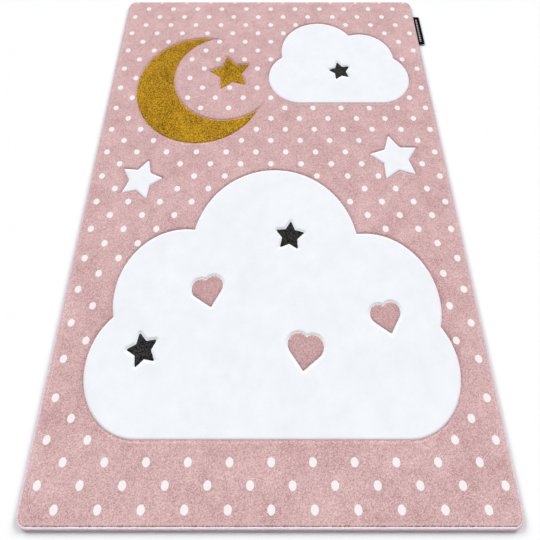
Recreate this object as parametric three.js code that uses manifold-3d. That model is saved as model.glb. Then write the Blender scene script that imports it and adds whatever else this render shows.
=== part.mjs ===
// A flat rectangular children's rug: a woven cloth with a short cut pile, an overcast edge all round
// and a folded label caught in one long edge.
//
// Lengths are in millimetres. +X runs across the rug, +Y along it and +Z up. The origin is at the centre
// of the underside, and the floor that the rug lies on is the plane z = 0.

import * as THREE from "three";
import { mergeVertices } from "three/addons/utils/BufferGeometryUtils.js";
import Module from "manifold-3d";

// Driving dimensions
const RUG = { width: 1200, length: 1700, cornerRadius: 28 };
const CLEARANCE = 0.3;
const PILE = { top: 12, shoulder: 2.4 };
const BINDING = { width: 8.8, height: 10, outerRound: 4.6, innerRound: 2.4, heelRound: 2.2, wall: 3.2 };
const TONGUE = { low: 1.6, high: 4.6 };
const GROOVE = { depth: 2.2, topWidth: 6, bottomWidth: 1 };
const LABEL = {
  fromFarEnd: 85,
  length: 146,
  reach: 25,
  rootDepth: 2,
  ribbon: 0.55,
  gap: 0.35,
  rootHeight: 5,
  foldHeight: 3.6,
};

// How finely curves are divided
const CORNER_STEPS = 8;
const ROUND_STEPS = 4;
const PUFF_SIDES = 64;
const LOBE_SIDES = 24;
const FOLD_STEPS = 8;
const DROOP_STEPS = 8;

// The woven motifs that are outlined by a carved groove. A cloud is a capsule with round puffs on it.
const CLOUDS = [
  {
    base: { left: -340, right: 352, y: -516, radius: 162 },
    puffs: [
      { x: -262, y: -334, radius: 194 },
      { x: 16, y: -196, radius: 258 },
      { x: 296, y: -352, radius: 198 },
    ],
  },
  {
    base: { left: 112, right: 414, y: 448, radius: 116 },
    puffs: [
      { x: 196, y: 572, radius: 150 },
      { x: 360, y: 540, radius: 124 },
    ],
  },
];
const MOON = { x: -262, y: 404, radius: 238, bite: { x: -172, y: 452, radius: 194 } };
const STARS = [
  { x: -152, y: 470, radius: 82, turn: 0.2 },
  { x: -432, y: 28, radius: 74, turn: -0.25 },
  { x: 430, y: 108, radius: 88, turn: 0.15 },
  { x: -352, y: -476, radius: 46, turn: 0.3 },
  { x: 62, y: -160, radius: 48, turn: -0.1 },
  { x: 270, y: 480, radius: 44, turn: 0.2 },
];
const HEARTS = [
  { x: -180, y: -330, width: 92, turn: 0.25 },
  { x: 96, y: -486, width: 100, turn: -0.15 },
  { x: 334, y: -400, width: 88, turn: 0.2 },
];
const STAR_POINTS = 5;
const STAR_WAIST = 0.52; // inner corners' radius as a share of the points' radius

const COLOURS = { pile: 0xd0a9a8, binding: 0xecd2d3, label: 0x1a191b };

const wasm = await Module();
wasm.setup();

// Skins a stack of rings that all have the same number of points and run anticlockwise seen from above.
// An open stack starts with its lowest ring and is capped at both ends; a closed one joins its last ring
// to its first.
function skin(rings, closed = false) {
  const count = rings[0].length;
  const positions = rings.flat().flatMap((point) => [point.x, point.y, point.z]);
  const index = [];
  const bands = closed ? rings.length : rings.length - 1;
  for (let band = 0; band < bands; band++) {
    const low = band * count;
    const high = ((band + 1) % rings.length) * count;
    for (let i = 0; i < count; i++) {
      const next = (i + 1) % count;
      index.push(low + i, low + next, high + next, low + i, high + next, high + i);
    }
  }
  if (!closed) {
    const top = (rings.length - 1) * count;
    for (const [a, b, c] of THREE.ShapeUtils.triangulateShape(rings[0], [])) {
      index.push(c, b, a);
      index.push(top + a, top + b, top + c);
    }
  }
  const geometry = new THREE.BufferGeometry();
  geometry.setAttribute("position", new THREE.Float32BufferAttribute(positions, 3));
  geometry.setIndex(index);
  return geometry;
}

function solidOf(geometry) {
  const bare = geometry.clone();
  bare.deleteAttribute("normal");
  bare.deleteAttribute("uv");
  const merged = mergeVertices(bare);
  const vertProperties = merged.attributes.position.array;
  const triVerts = new Uint32Array(merged.index.array);
  return new wasm.Manifold(new wasm.Mesh({ numProp: 3, vertProperties, triVerts }));
}

function geometryOf(solid) {
  const mesh = solid.getMesh();
  const geometry = new THREE.BufferGeometry();
  geometry.setAttribute("position", new THREE.BufferAttribute(mesh.vertProperties, 3));
  geometry.setIndex(new THREE.BufferAttribute(mesh.triVerts, 1));
  const flat = geometry.toNonIndexed();
  flat.computeVertexNormals();
  return flat;
}

function arc(x, y, radius, from, to, steps) {
  return Array.from({ length: steps + 1 }, (_, i) => {
    const angle = from + ((to - from) * i) / steps;
    return new THREE.Vector2(x + radius * Math.cos(angle), y + radius * Math.sin(angle));
  });
}

function atHeight(points, z) {
  return points.map((point) => new THREE.Vector3(point.x, point.y, z));
}

// The rug's outline, drawn in by inset, at height z.
function edgeRing(inset, z) {
  const across = RUG.width / 2 - RUG.cornerRadius;
  const along = RUG.length / 2 - RUG.cornerRadius;
  const corners = [
    [across, along],
    [-across, along],
    [-across, -along],
    [across, -along],
  ];
  const quarter = Math.PI / 2;
  const points = corners.flatMap(([x, y], turn) =>
    arc(x, y, RUG.cornerRadius - inset, turn * quarter, (turn + 1) * quarter, CORNER_STEPS)
  );
  return atHeight(points, z);
}

// Profiles hold each ring's inset from the outer edge as x, and its height as y.
function ringsAlong(profile) {
  return profile.map((point) => edgeRing(point.x, point.y));
}

// A motif's blank has sides that lean, so that a groove between two blanks is wider at the pile's tips
// than at its foot. lean gives how far a blank's outline stands out at a height.
const GROOVE_FLOOR = PILE.top - GROOVE.depth;
const OVERSHOOT = 1;
const LEAN = (GROOVE.topWidth - GROOVE.bottomWidth) / 2 / GROOVE.depth;

function leaning(outlineAt, side) {
  const low = (side * GROOVE.bottomWidth) / 2;
  const high = low + side * LEAN * (GROOVE.depth + OVERSHOOT);
  return solidOf(
    skin([
      atHeight(outlineAt(low), GROOVE_FLOOR),
      atHeight(outlineAt(high), PILE.top + OVERSHOOT),
    ])
  );
}

// Each motif gives its blank for side 1, standing out from its outline, and side -1, drawn in from it.
function disc({ x, y, radius }, side, sides = PUFF_SIDES) {
  return leaning((grow) => arc(x, y, radius + grow, 0, 2 * Math.PI, sides).slice(0, -1), side);
}

function cloud({ base, puffs }, side) {
  const ends = [base.left, base.right].map((x) => ({ x, y: base.y, radius: base.radius }));
  const middle = leaning((grow) => {
    const half = base.radius + grow;
    return [
      new THREE.Vector2(base.left, base.y - half),
      new THREE.Vector2(base.right, base.y - half),
      new THREE.Vector2(base.right, base.y + half),
      new THREE.Vector2(base.left, base.y + half),
    ];
  }, side);
  return [...ends, ...puffs].reduce((joined, puff) => joined.add(disc(puff, side)), middle);
}

function crescent({ x, y, radius, bite }, side) {
  return disc({ x, y, radius }, side).subtract(disc(bite, -side));
}

// Every edge of a star is equally far from its centre, so scaling it shifts all its edges alike.
function star({ x, y, radius, turn }, side) {
  const waist = radius * STAR_WAIST;
  const step = Math.PI / STAR_POINTS;
  const chord = Math.hypot(radius - waist * Math.cos(step), waist * Math.sin(step));
  const toEdge = (radius * waist * Math.sin(step)) / chord;
  return leaning((grow) => {
    const scale = 1 + grow / toEdge;
    return Array.from({ length: 2 * STAR_POINTS }, (_, i) => {
      const reach = (i % 2 ? waist : radius) * scale;
      const angle = turn + Math.PI / 2 + i * step;
      return new THREE.Vector2(x + reach * Math.cos(angle), y + reach * Math.sin(angle));
    });
  }, side);
}

// A heart is a square standing on a corner with a round lobe on each of its upper sides.
function heart({ x, y, width, turn }, side) {
  const edge = width / (1 + Math.SQRT1_2);
  const tilt = turn + Math.PI / 4;
  const lobes = [tilt, tilt + Math.PI / 2].map((angle) => ({
    x: x + (edge / 2) * Math.cos(angle),
    y: y + (edge / 2) * Math.sin(angle),
    radius: edge / 2,
  }));
  const body = leaning((grow) => {
    const toCorner = (edge / 2 + grow) * Math.SQRT2;
    return arc(x, y, toCorner, tilt + Math.PI / 4, tilt + Math.PI / 4 + 2 * Math.PI, 4).slice(0, -1);
  }, side);
  return lobes.reduce((joined, lobe) => joined.add(disc(lobe, side, LOBE_SIDES)), body);
}

function grooveRound(blank, motif) {
  return blank(motif, 1).subtract(blank(motif, -1));
}

function fieldGeometry() {
  const pileInset = BINDING.width + CLEARANCE;
  const tongueInset = BINDING.wall + CLEARANCE;
  const shoulderZ = PILE.top - PILE.shoulder;
  const shoulder = arc(pileInset + PILE.shoulder, shoulderZ, PILE.shoulder, Math.PI, Math.PI / 2, ROUND_STEPS);
  const profile = [
    new THREE.Vector2(pileInset, 0),
    new THREE.Vector2(pileInset, TONGUE.low),
    new THREE.Vector2(tongueInset, TONGUE.low),
    new THREE.Vector2(tongueInset, TONGUE.high),
    new THREE.Vector2(pileInset, TONGUE.high),
    ...shoulder,
  ];
  const grooves = [
    ...CLOUDS.map((motif) => grooveRound(cloud, motif)),
    grooveRound(crescent, MOON),
    ...STARS.map((motif) => grooveRound(star, motif)),
    ...HEARTS.map((motif) => grooveRound(heart, motif)),
  ];
  const slab = solidOf(skin(ringsAlong(profile)));
  return geometryOf(grooves.reduce((left, groove) => left.subtract(groove), slab));
}

// The binding's section is a C that opens towards the cloth and grips its tongue.
function bindingGeometry() {
  const { width, height, outerRound, innerRound, heelRound, wall } = BINDING;
  const slotLow = TONGUE.low - CLEARANCE;
  const slotHigh = TONGUE.high + CLEARANCE;
  const profile = [
    new THREE.Vector2(width, 0),
    ...arc(heelRound, heelRound, heelRound, -Math.PI / 2, -Math.PI, ROUND_STEPS),
    ...arc(outerRound, height - outerRound, outerRound, Math.PI, Math.PI / 2, ROUND_STEPS),
    ...arc(width - innerRound, height - innerRound, innerRound, Math.PI / 2, 0, ROUND_STEPS),
    new THREE.Vector2(width, slotHigh),
    new THREE.Vector2(wall, slotHigh),
    new THREE.Vector2(wall, slotLow),
    new THREE.Vector2(width, slotLow),
  ];
  const ring = solidOf(skin(ringsAlong(profile), true));
  return geometryOf(ring.subtract(labelSlot()));
}

const LABEL_THICKNESS = 2 * LABEL.ribbon + LABEL.gap;
const LABEL_MIDDLE_Y = RUG.length / 2 - LABEL.fromFarEnd - LABEL.length / 2;

function labelSlot() {
  const depth = LABEL.rootDepth + CLEARANCE;
  const slot = new THREE.BoxGeometry(
    2 * depth,
    LABEL.length + 2 * CLEARANCE,
    LABEL_THICKNESS + 2 * CLEARANCE
  );
  slot.translate(RUG.width / 2, LABEL_MIDDLE_Y, LABEL.rootHeight);
  return solidOf(slot);
}

// The label's middle line leaves the slot level and droops a little, as a stiff ribbon does.
function labelMiddle(distance) {
  const free = LABEL.reach - LABEL_THICKNESS / 2;
  const share = THREE.MathUtils.clamp(distance / free, 0, 1);
  return THREE.MathUtils.lerp(LABEL.rootHeight, LABEL.foldHeight, THREE.MathUtils.smoothstep(share, 0, 1));
}

// One side of a layer of the ribbon, offset from the middle line, from the root to the fold.
function labelSide(offset) {
  const free = LABEL.reach - LABEL_THICKNESS / 2;
  const droop = Array.from({ length: DROOP_STEPS + 1 }, (_, i) => {
    const distance = (free * i) / DROOP_STEPS;
    return new THREE.Vector2(distance, labelMiddle(distance) + offset);
  });
  return [new THREE.Vector2(-LABEL.rootDepth, LABEL.rootHeight + offset), ...droop];
}

function labelGeometry() {
  const free = LABEL.reach - LABEL_THICKNESS / 2;
  const outer = LABEL_THICKNESS / 2;
  const inner = LABEL.gap / 2;
  const foldAt = (radius) =>
    arc(free, LABEL.foldHeight, radius, -Math.PI / 2, Math.PI / 2, FOLD_STEPS).slice(1, -1);
  const section = new THREE.Shape([
    ...labelSide(-outer),
    ...foldAt(outer),
    ...labelSide(outer).reverse(),
    ...labelSide(inner),
    ...foldAt(inner).reverse(),
    ...labelSide(-inner).reverse(),
  ]);
  const geometry = new THREE.ExtrudeGeometry(section, { depth: LABEL.length, bevelEnabled: false });
  geometry.rotateX(Math.PI / 2);
  geometry.translate(RUG.width / 2, LABEL_MIDDLE_Y + LABEL.length / 2, 0);
  return geometry;
}

function cloth(name, geometry, color, roughness) {
  const material = new THREE.MeshStandardMaterial({ color, roughness, metalness: 0 });
  const mesh = new THREE.Mesh(geometry, material);
  mesh.name = name;
  return mesh;
}

const rug = new THREE.Group();
rug.add(
  cloth("rug_field", fieldGeometry(), COLOURS.pile, 0.95),
  cloth("edge_binding", bindingGeometry(), COLOURS.binding, 0.8),
  cloth("edge_label", labelGeometry(), COLOURS.label, 0.65)
);

export default rug;
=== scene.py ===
"""A flat children's rug: short cut pile in five yarns, a woven back, an overcast edge and a side label.

Every piece is worked out with numpy as whole arrays, in metres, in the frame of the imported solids: +X runs
across the rug, +Y along it and +Z up, and the floor is at z = 0. The pile is one surface with a point for
each tuft. It is cut into pieces where the yarn changes, so that each motif is a piece of its own.
"""

from __future__ import annotations

import logging
import math
from dataclasses import dataclass
from enum import Enum, IntEnum
from typing import Any, Protocol

import bpy
import numpy as np
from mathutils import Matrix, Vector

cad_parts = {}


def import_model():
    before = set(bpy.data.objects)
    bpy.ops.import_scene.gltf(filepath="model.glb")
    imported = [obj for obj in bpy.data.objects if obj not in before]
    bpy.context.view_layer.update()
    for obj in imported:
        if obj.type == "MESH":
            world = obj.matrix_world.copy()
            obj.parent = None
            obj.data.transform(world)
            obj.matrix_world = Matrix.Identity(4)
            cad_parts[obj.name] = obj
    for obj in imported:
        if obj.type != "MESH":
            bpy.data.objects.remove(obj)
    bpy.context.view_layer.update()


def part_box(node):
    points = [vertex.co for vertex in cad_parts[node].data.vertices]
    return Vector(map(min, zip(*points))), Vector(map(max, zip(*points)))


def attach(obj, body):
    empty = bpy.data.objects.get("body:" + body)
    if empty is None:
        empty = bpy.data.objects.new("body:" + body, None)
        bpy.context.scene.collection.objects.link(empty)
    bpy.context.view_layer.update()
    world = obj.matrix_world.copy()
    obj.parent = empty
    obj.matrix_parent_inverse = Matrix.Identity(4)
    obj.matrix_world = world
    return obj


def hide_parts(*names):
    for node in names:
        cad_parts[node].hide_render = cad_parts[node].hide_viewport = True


MM = 0.001
BODY = "root"
BAKE_MAP = "OFBake"
YARN_MAP = "yarn"
MAP_MARGIN = 0.002
CORNER_RADIUS = 28 * MM
BINDING_WIDTH = 8.8 * MM
WAVE_SPREAD = (0.7, 1.4)
ON_RIM = 1e-7
TINY = 1e-12
A_LITTLE_IN = 1 - 1e-9

ON_GROUND = -1
ON_DOT = -2

Array = np.ndarray
Colour = tuple[float, float, float, float]

log = logging.getLogger("rug")


class Yarn(Enum):
    """The yarns of the pile, each with the name of the record's material slot for it."""

    GROUND = "pile_ground"
    WHITE = "pile_white"
    GOLD = "pile_gold"
    CHARCOAL = "pile_charcoal"
    ROSE = "pile_rose"


class Seed(IntEnum):
    """Where each use of random numbers starts."""

    SWELL = 3
    KNOTS = 5
    CURL = 8
    LEAN = 11
    TUFTS = 23
    STRANDS = 31
    RIM = 41


class Motif(Protocol):
    """A woven shape, known by its signed distance."""

    def distance(self, x: Array, y: Array) -> Array:
        """Distance to the shape's outline, below 0 inside it."""
        ...


@dataclass(frozen=True)
class Disc:
    """A round shape, with its centre and radius in millimetres."""

    x: float
    y: float
    radius: float

    def distance(self, x: Array, y: Array) -> Array:
        """Distance from the centre, less the radius."""
        return np.hypot(x - self.x * MM, y - self.y * MM) - self.radius * MM


@dataclass(frozen=True)
class Cloud:
    """A flat-bottomed cloud: a capsule from left to right at height y, with round puffs on it."""

    left: float
    right: float
    y: float
    radius: float
    puffs: tuple[Disc, ...]

    def distance(self, x: Array, y: Array) -> Array:
        """The least of the distances to the capsule and to each puff."""
        on_line = np.clip(x, self.left * MM, self.right * MM)
        capsule = np.hypot(x - on_line, y - self.y * MM) - self.radius * MM
        return np.minimum.reduce([capsule, *(puff.distance(x, y) for puff in self.puffs)])


@dataclass(frozen=True)
class Moon:
    """A crescent: a disc with another disc bitten out of it."""

    disc: Disc
    bite: Disc

    def distance(self, x: Array, y: Array) -> Array:
        """The larger of the disc's distance and the bite's with its sign turned."""
        return np.maximum(self.disc.distance(x, y), -self.bite.distance(x, y))


@dataclass(frozen=True)
class Star:
    """A five-pointed star, turned by an angle in radians."""

    x: float
    y: float
    radius: float
    turn: float
    points: int = 5
    waist: float = 0.52
    blunt: float = 3.0

    def distance(self, x: Array, y: Array) -> Array:
        """Folds the angle into half of one point, and takes the distance to that half's straight edge.

        The tip is blunted where a disc round the centre, a little smaller than the star, cuts it.
        """
        step = math.pi / self.points
        across, along = x - self.x * MM, y - self.y * MM
        reach = np.hypot(across, along)
        angle = np.arctan2(along, across) - self.turn - math.pi / 2
        folded = np.abs((angle + step) % (2 * step) - step)
        tip = self.radius * MM
        inner_x, inner_y = tip * self.waist * math.cos(step), tip * self.waist * math.sin(step)
        long = math.hypot(tip - inner_x, inner_y)
        edge = ((reach * np.cos(folded) - tip) * inner_y + reach * np.sin(folded) * (tip - inner_x)) / long
        return np.maximum(edge, reach - tip + self.blunt * MM)


@dataclass(frozen=True)
class Heart:
    """A heart: a square standing on its corner with a round lobe on each upper side."""

    x: float
    y: float
    width: float
    turn: float

    def distance(self, x: Array, y: Array) -> Array:
        """The least of the distances to the square and to the two lobes."""
        half = self.width * MM / (1 + math.sqrt(0.5)) / 2
        across, along = x - self.x * MM, y - self.y * MM
        u = across * math.cos(self.turn) + along * math.sin(self.turn)
        v = along * math.cos(self.turn) - across * math.sin(self.turn)
        square = (np.abs(u) + np.abs(v)) * math.sqrt(0.5) - half
        shift = half * math.sqrt(0.5)
        lobes = np.hypot(np.abs(u) - shift, v - shift) - half
        return np.minimum(square, lobes)


@dataclass(frozen=True)
class Woven:
    """A pile piece: the motifs that are woven together in one yarn, under one name."""

    name: str
    yarn: Yarn
    motifs: tuple[Motif, ...]


@dataclass
class Artwork:
    """The design: polka dots in half-drop rows on the ground, under a few large carved motifs."""

    half_length: float
    pieces: tuple[Woven, ...] = (
        Woven(
            "pile_cloud_large",
            Yarn.WHITE,
            (
                Cloud(
                    -340,
                    352,
                    -516,
                    162,
                    (Disc(-262, -334, 194), Disc(16, -196, 258), Disc(296, -352, 198)),
                ),
            ),
        ),
        Woven(
            "pile_cloud_small",
            Yarn.WHITE,
            (Cloud(112, 414, 448, 116, (Disc(196, 572, 150), Disc(360, 540, 124))),),
        ),
        Woven("pile_stars_white", Yarn.WHITE, (Star(-432, 28, 74, -0.25), Star(430, 108, 88, 0.15))),
        Woven(
            "pile_moon_gold",
            Yarn.GOLD,
            (Moon(Disc(-262, 404, 238), Disc(-172, 452, 194)), Star(-152, 470, 82, 0.2)),
        ),
        Woven(
            "pile_stars_charcoal",
            Yarn.CHARCOAL,
            (Star(-352, -476, 46, 0.3), Star(62, -160, 48, -0.1), Star(270, 480, 44, 0.2)),
        ),
        Woven(
            "pile_hearts_rose",
            Yarn.ROSE,
            (Heart(-180, -330, 92, 0.25), Heart(96, -486, 100, -0.15), Heart(334, -400, 88, 0.2)),
        ),
    )
    dot_radius: float = 9.7 * MM
    dot_stretch: float = 1.04
    dot_pitch: float = 103 * MM
    dot_shift: float = 3 * MM
    row_pitch: float = 44.9 * MM
    first_row: float = 38 * MM
    clear_of_motifs: float = 15 * MM

    def motif_distances(self, x: Array, y: Array) -> Array:
        """Distance to each motif's outline, with one row for each motif."""
        return np.stack([motif.distance(x, y) for piece in self.pieces for motif in piece.motifs])

    def dot_distance(self, x: Array, y: Array) -> Array:
        """Distance to the nearest polka dot, leaving out the dots that a motif covers or touches.

        Args:
            x: Places across the rug.
            y: Places along the rug.

        Returns:
            The distance to the nearest dot's outline, below 0 inside it.
        """
        row = np.round((y + self.half_length - self.first_row) / self.row_pitch)
        row_y = row * self.row_pitch - self.half_length + self.first_row
        shift = np.where(row % 2 == 0, 0.0, self.dot_pitch / 2) + self.dot_shift
        dot_x = np.round((x - shift) / self.dot_pitch) * self.dot_pitch + shift
        found = np.hypot(x - dot_x, (y - row_y) / self.dot_stretch) - self.dot_radius
        return np.where(self.covered(dot_x, row_y), self.dot_pitch, found)

    def edge_distance(self, x: Array, y: Array) -> Array:
        """Distance to the nearest change of yarn, of a motif or a dot.

        Args:
            x: Places across the rug.
            y: Places along the rug.

        Returns:
            The distance that is nearest to 0, with its sign.
        """
        found = np.stack([*self.motif_distances(x, y), self.dot_distance(x, y)])
        nearest = np.abs(found).argmin(axis=0)
        return np.take_along_axis(found, nearest[None], axis=0)[0]

    def carved_distance(self, x: Array, y: Array, shift: float) -> Array:
        """Distance to the middle of the nearest carved groove.

        Args:
            x: Places across the rug.
            y: Places along the rug.
            shift: How far outside each motif's outline its groove runs.

        Returns:
            The least distance over all motifs.
        """
        return np.abs(self.motif_distances(x, y) - shift).min(axis=0)

    def covered(self, x: Array, y: Array) -> Array:
        """Which places a motif covers or nearly touches."""
        return self.motif_distances(x, y).min(axis=0) < self.clear_of_motifs

    def piece_at(self, x: Array, y: Array) -> Array:
        """Which pile piece each place belongs to.

        Args:
            x: Places across the rug.
            y: Places along the rug.

        Returns:
            The number of the piece in pieces, or ON_GROUND where no motif lies. A later piece covers an
            earlier one.
        """
        number = np.full(x.shape, ON_GROUND)
        for index, piece in enumerate(self.pieces):
            inside = np.minimum.reduce([motif.distance(x, y) for motif in piece.motifs]) < 0
            number[inside] = index
        return number


@dataclass(frozen=True)
class Outline:
    """A rectangle with round corners about the origin."""

    half_width: float
    half_length: float
    corner: float

    def inset(self, by: float) -> Outline:
        """The outline drawn in by a distance, with its corners about the same centres."""
        return Outline(self.half_width - by, self.half_length - by, self.corner - by)

    def past_sides(self, x: Array, y: Array) -> tuple[Array, Array]:
        """How far each place lies past the corners' centres, across the rug and along it."""
        return np.abs(x) - (self.half_width - self.corner), np.abs(y) - (self.half_length - self.corner)

    def distance(self, x: Array, y: Array) -> Array:
        """Distance to the outline, below 0 inside it."""
        out_x, out_y = self.past_sides(x, y)
        beyond = np.hypot(np.maximum(out_x, 0), np.maximum(out_y, 0))
        return beyond + np.minimum(np.maximum(out_x, out_y), 0) - self.corner

    def outward(self, x: Array, y: Array) -> Array:
        """The direction in which the distance grows: away from a corner's centre, or square to a side."""
        out_x, out_y = self.past_sides(x, y)
        in_corner = (out_x > 0) & (out_y > 0)
        length = np.maximum(np.hypot(out_x, out_y), TINY)
        to_x = np.where(in_corner, out_x / length, out_x >= out_y) * np.sign(x)
        to_y = np.where(in_corner, out_y / length, out_x < out_y) * np.sign(y)
        return np.stack([to_x, to_y], axis=-1)

    def walk(self, along: Array) -> tuple[Array, Array]:
        """Places on the outline at distances along it, anticlockwise from the right side's near end.

        Each quarter is a straight side and then a corner. On a side the place moves straight on, and in a
        corner it turns about the corner's centre.

        Args:
            along: Distances along the outline, which may run past its length.

        Returns:
            The places and the outward directions there, each with a last axis of X and Y.
        """
        across, down = self.half_width - self.corner, self.half_length - self.corner
        arc = self.corner * math.pi / 2
        sides = np.array([2 * down, 2 * across, 2 * down, 2 * across])
        ends = np.cumsum(sides + arc)
        at = np.mod(along, ends[-1])
        quarter = np.minimum(np.searchsorted(ends, at, side="right"), 3)
        rest = at - (ends - sides - arc)[quarter]
        straight = np.minimum(rest, sides[quarter])
        angle = quarter * math.pi / 2 + np.maximum(rest - sides[quarter], 0) / self.corner
        away = np.stack([np.cos(angle), np.sin(angle)], axis=-1)
        centres = np.array([[across, -down], [across, down], [-across, down], [-across, -down]])[quarter]
        steps = np.array([[0, 1], [-1, 0], [0, -1], [1, 0]])[quarter]
        return centres + steps * straight[..., None] + away * self.corner, away

    def length(self) -> float:
        """How long the outline is."""
        straight = 4 * (self.half_width + self.half_length - 2 * self.corner)
        return straight + 2 * math.pi * self.corner


@dataclass(frozen=True)
class RugSizes:
    """The rug's sizes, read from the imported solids."""

    outer: Outline
    binding_height: float
    pile_top: float
    label_low: Array
    label_high: Array
    binding_width: float = BINDING_WIDTH
    gap: float = 0.3 * MM

    @classmethod
    def from_frame(cls) -> RugSizes:
        """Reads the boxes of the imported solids.

        Returns:
            The sizes, with the outer outline of the binding.
        """
        low, high = (np.array(corner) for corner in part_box("edge_binding"))
        label_low, label_high = (np.array(corner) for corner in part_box("edge_label"))
        outer = Outline((high[0] - low[0]) / 2, (high[1] - low[1]) / 2, CORNER_RADIUS)
        return cls(outer, high[2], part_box("rug_field")[1][2], label_low, label_high)

    def inner(self) -> Outline:
        """The pile's outline, just inside the binding."""
        return self.outer.inset(self.binding_width + self.gap)


def ripple(x: Array, y: Array, wavelength: float, seed: int, waves: int = 9) -> Array:
    """Smooth unevenness: the mean of plane waves of about one wavelength in random directions.

    Args:
        x: Places across the rug.
        y: Places along the rug.
        wavelength: The distance from crest to crest, in metres.
        seed: Chooses the directions and phases.
        waves: How many waves are added.

    Returns:
        Numbers from about -1 to 1.
    """
    draw = np.random.default_rng(seed)
    found = np.zeros(np.shape(x))
    for _ in range(waves):
        angle, phase = draw.uniform(0, 2 * math.pi, 2)
        turns = 2 * math.pi / (wavelength * draw.uniform(*WAVE_SPREAD))
        found += np.sin(turns * (x * math.cos(angle) + y * math.sin(angle)) + phase)
    return found / math.sqrt(2 * waves)


def rows_of_quads(
    rows: int, columns: int, closed_rows: bool = False, closed_columns: bool = False
) -> Array:
    """The faces of a grid of points that is numbered row by row.

    Args:
        rows: How many rows of points there are.
        columns: How many points each row holds.
        closed_rows: Whether the last row joins the first.
        closed_columns: Whether each row's last point joins its first.

    Returns:
        Four point numbers a face, in the order of row, next row, next row and next point, next point.
    """
    row = np.arange(rows if closed_rows else rows - 1)[:, None]
    column = np.arange(columns if closed_columns else columns - 1)[None, :]
    next_row, next_column = (row + 1) % rows, (column + 1) % columns
    corners = (
        row * columns + column,
        next_row * columns + column,
        next_row * columns + next_column,
        row * columns + next_column,
    )
    return np.stack(corners, axis=-1).reshape(-1, 4)


def ring_at(points: Array, away: Array, out: Any, height: float) -> Array:
    """Moves a ring of points outwards and sets it to one height.

    Args:
        points: The ring's points, two or three numbers each.
        away: The outward direction at each point.
        out: How far they move, as one number or one for each.
        height: Their new height.

    Returns:
        The new ring, three numbers each.
    """
    moved = points[:, :2] + away * np.reshape(out, (-1, 1))
    return np.column_stack([moved, np.full(len(points), height)])


def arc(centre: tuple[float, float], radius: float, start: float, end: float, steps: int) -> Array:
    """Points of an arc in a section.

    Args:
        centre: The arc's centre.
        radius: Its radius.
        start: The angle of its first point in degrees.
        end: The angle of its last point.
        steps: How many points it has.

    Returns:
        The points, two numbers each.
    """
    angle = np.radians(np.linspace(start, end, steps))
    return np.stack([centre[0] + radius * np.cos(angle), centre[1] + radius * np.sin(angle)], axis=-1)


def mesh_piece(
    name: str, points: Array, quads: Array, others: tuple[Array, ...] = ()
) -> bpy.types.Object:
    """Makes a smooth-shaded mesh object at the origin.

    Args:
        name: The piece's name.
        points: Its points, three numbers each.
        quads: Its four-sided faces.
        others: Its faces with another number of sides.

    Returns:
        The object, linked to the scene.
    """
    corners = np.concatenate([quads.ravel(), *(np.ravel(one) for one in others)]).astype(np.int32)
    counts = np.array([4] * len(quads) + [len(one) for one in others], dtype=np.int32)
    mesh = bpy.data.meshes.new(name)
    mesh.vertices.add(len(points))
    mesh.vertices.foreach_set("co", np.ascontiguousarray(points, dtype=np.float32).ravel())
    mesh.loops.add(len(corners))
    mesh.loops.foreach_set("vertex_index", corners)
    mesh.polygons.add(len(counts))
    mesh.polygons.foreach_set("loop_start", np.cumsum(counts) - counts)
    mesh.update(calc_edges=True)
    mesh.polygons.foreach_set("use_smooth", np.ones(len(counts), dtype=bool))
    piece = bpy.data.objects.new(name, mesh)
    bpy.context.scene.collection.objects.link(piece)
    return piece


def set_attribute(piece: bpy.types.Object, name: str, values: Array) -> None:
    """Keeps one number for each point of a piece, for its material to read.

    Args:
        piece: The mesh object.
        name: The attribute's name.
        values: One number for each point.
    """
    attribute = piece.data.attributes.new(name, "FLOAT", "POINT")
    attribute.data.foreach_set("value", np.ascontiguousarray(values, dtype=np.float32))


def set_map(piece: bpy.types.Object, name: str, places: Array) -> None:
    """Gives a piece a flat map of its surface.

    Args:
        piece: The mesh object.
        name: The map's name.
        places: Two numbers for each corner of each face.
    """
    layer = piece.data.uv_layers.new(name=name)
    layer.uv.foreach_set("vector", np.ascontiguousarray(places, dtype=np.float32).ravel())


def set_map_from_above(piece: bpy.types.Object, points: Array) -> None:
    """Gives a piece a flat map in metres, as it is seen from above.

    Args:
        piece: The mesh object.
        points: Its points, three numbers each.
    """
    corners = np.empty(len(piece.data.loops), dtype=np.int32)
    piece.data.loops.foreach_get("vertex_index", corners)
    set_map(piece, YARN_MAP, points[corners][:, :2])


def inside_map(share: Array) -> Array:
    """Draws places from 0 to 1 in a little, clear of a map's border."""
    return share * (1 - 2 * MAP_MARGIN) + MAP_MARGIN


def install(piece: bpy.types.Object, finish: bpy.types.Material, node: str) -> bpy.types.Object:
    """Makes a finished piece part of the rug.

    Args:
        piece: The mesh object.
        finish: Its material.
        node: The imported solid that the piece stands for.

    Returns:
        The same object.
    """
    piece.data.materials.append(finish)
    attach(piece, BODY)
    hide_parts(node)
    log.info("%s: %d points, %d faces", piece.name, len(piece.data.vertices), len(piece.data.polygons))
    return piece


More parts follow.
